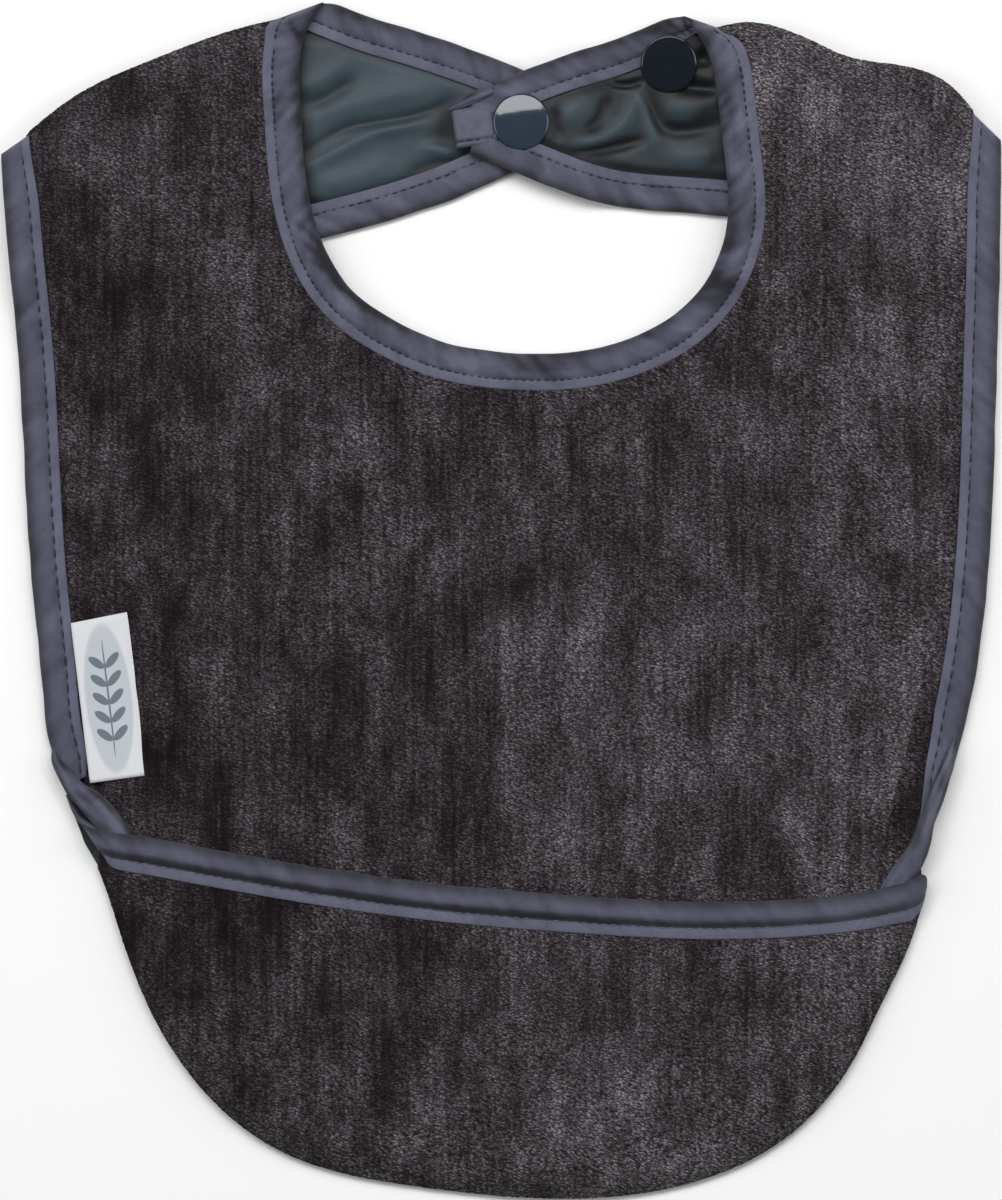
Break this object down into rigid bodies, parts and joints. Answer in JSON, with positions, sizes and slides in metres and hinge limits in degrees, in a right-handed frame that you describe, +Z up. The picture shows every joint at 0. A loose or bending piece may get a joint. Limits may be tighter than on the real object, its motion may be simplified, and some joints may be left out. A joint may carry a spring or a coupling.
{
  "type": "pocket bib",
  "caption": "Baby's pocket bib with a velour towelling front, nylon back, taped edges, turned catch pocket, side label and neck straps folded and snapped behind.",
  "frame": {"origin": "centre of the bib's overall outline, on the surface that it lies on", "axes": "+Y towards the neck, +X to the right of someone looking at the front, +Z up, out of the front"},
  "size_m": [0.25, 0.2998, 0.0106],
  "materials": {
    "towelling": "dark charcoal velour towelling, short brushed pile",
    "nylon": "dark blue-grey proofed nylon with a satin sheen",
    "binding": "slate blue-grey bias tape, matt woven, dark stitching",
    "snap_plastic": "dark blue-grey moulded plastic, glossy",
    "label": "off-white woven ribbon with a pale grey oval"
  },
  "bodies": {
    "bib": {"front_towelling": "towelling", "back_nylon": "nylon", "neck_binding": "binding", "left_side_binding": "binding", "right_side_binding": "binding", "pocket_seam_binding": "binding", "left_strap_towelling": "towelling", "left_strap_nylon": "nylon", "left_strap_neck_binding": "binding", "left_strap_outer_binding": "binding", "left_snap_cap": "snap_plastic", "left_snap_stud": "snap_plastic", "right_strap_towelling": "towelling", "right_strap_nylon": "nylon", "right_strap_neck_binding": "binding", "right_strap_outer_binding": "binding", "outer_snap_cap": "snap_plastic", "outer_snap_socket": "snap_plastic"},
    "strap_end": {"strap_end_towelling": "towelling", "strap_end_nylon": "nylon", "strap_end_neck_binding": "binding", "strap_end_outer_binding": "binding", "strap_end_fold_tab": "binding", "inner_snap_cap": "snap_plastic", "inner_snap_socket": "snap_plastic"},
    "pocket_front": {"pocket_towelling": "towelling", "pocket_lining": "nylon", "pocket_mouth_binding": "binding"},
    "label": {"side_label": "label"}
  },
  "joints": [
    {"name": "strap_peel", "type": "hinge", "parent": "bib", "child": "strap_end", "pos_m": [0.032, 0.1195, 0.003], "axis": [0, 1, 0], "range_deg": [0, 75]},
    {"name": "pocket_open", "type": "hinge", "parent": "bib", "child": "pocket_front", "pos_m": [0.012, -0.15, 0.0007], "axis": [1, 0, 0], "range_deg": [0, 28]},
    {"name": "label_flip", "type": "hinge", "parent": "bib", "child": "label", "pos_m": [-0.1073, -0.0058, 0.0035], "axis": [0.1167, -0.9932, 0], "range_deg": [0, 120]}
  ]
}
